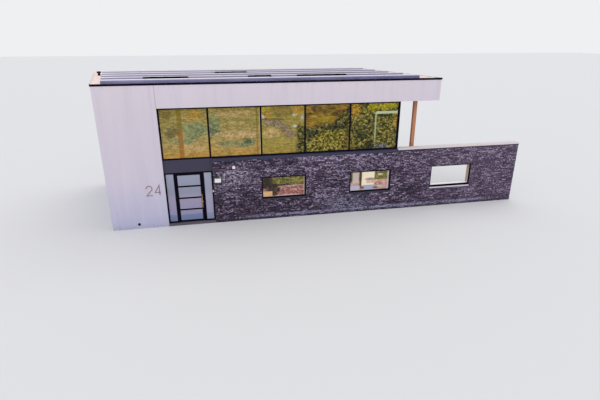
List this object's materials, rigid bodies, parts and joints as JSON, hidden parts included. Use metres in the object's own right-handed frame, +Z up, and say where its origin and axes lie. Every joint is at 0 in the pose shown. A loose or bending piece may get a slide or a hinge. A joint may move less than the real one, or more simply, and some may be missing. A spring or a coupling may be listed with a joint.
{
  "type": "beach house",
  "caption": "Two-storey beach house: white folded wall and fascia, ribbon window over dark brick, glazed front door, flat roof with solar panels, garden wall with an opening.",
  "frame": {"origin": "centre of the house's footprint, at ground level, on the underside of the ground slab", "axes": "+Z up; the front faces -Y; +X to the right along the front, as seen from the front"},
  "size_m": [20.2197, 7, 6.199],
  "materials": {
    "white_cladding": "off-white render and cladding, matt, a little streaked",
    "dark_brick": "dark purple-brown brickwork with pale specks",
    "concrete": "smooth grey concrete",
    "floor_timber": "oiled floorboards on the upper floor",
    "slate_metal": "slate grey powder coat",
    "dark_frame": "near-black powder coat, satin",
    "window_glass": "solar-control glass with an amber cast",
    "frosted_glass": "frosted grey-blue glass",
    "roof_gravel": "pale pinkish gravel",
    "solar_glass": "dark blue-grey modules in thin pale frames",
    "aluminium": "mill finish",
    "pale_stone": "pale cast stone",
    "white_lining": "white painted lining boards",
    "post_timber": "orange-brown stained timber",
    "handle_metal": "brushed pale brass",
    "white_plastic": "white moulded plastic"
  },
  "bodies": {
    "house": {"ground_slab": "concrete", "entry_step": "concrete", "white_wall": "white_cladding", "left_wall": "white_cladding", "front_brick_wall": "dark_brick", "right_brick_wall": "dark_brick", "back_brick_wall": "dark_brick", "back_white_wall": "white_cladding", "first_floor": "floor_timber", "entry_lintel": "white_cladding", "sill_bands": "slate_metal", "ribbon_frame": "dark_frame", "ribbon_glass": "window_glass", "back_ribbon_frame": "dark_frame", "back_ribbon_glass": "window_glass", "side_window_frame": "dark_frame", "side_window_glass": "window_glass", "upper_side_wall": "white_cladding", "ceiling": "white_cladding", "roof_slab": "concrete", "front_fascia": "white_cladding", "side_fascia": "white_cladding", "back_fascia": "white_cladding", "roof_gravel": "roof_gravel", "roof_trim": "dark_frame", "solar_panels": "solar_glass", "solar_rails": "aluminium", "entry_frame": "dark_frame", "spandrel_panel": "slate_metal", "sidelight_glass": "frosted_glass", "door_hinges": "aluminium", "window_frames": "dark_frame", "window_glass": "window_glass", "window_sills": "slate_metal", "window_linings": "white_lining", "garden_wall": "dark_brick", "wall_coping": "pale_stone", "opening_sill": "pale_stone", "terrace_post": "post_timber", "post_shoe": "aluminium", "wall_lamp": "white_plastic", "door_bell": "white_plastic", "sensor_box": "white_plastic", "wall_vent": "dark_frame", "opening_frame": "dark_frame", "opening_lining": "white_lining", "roof_vent": "dark_frame", "ballast_trays": "dark_frame"},
    "door": {"front_door": "dark_frame", "door_glass": "frosted_glass", "door_handle": "handle_metal", "door_hinge_leaves": "aluminium"}
  },
  "joints": [
    {"name": "front_door_hinge", "type": "hinge", "parent": "house", "child": "door", "pos_m": [-2.968, -3.235, 1.2], "axis": [0, 0, 1], "range_deg": [0, 90]}
  ]
}
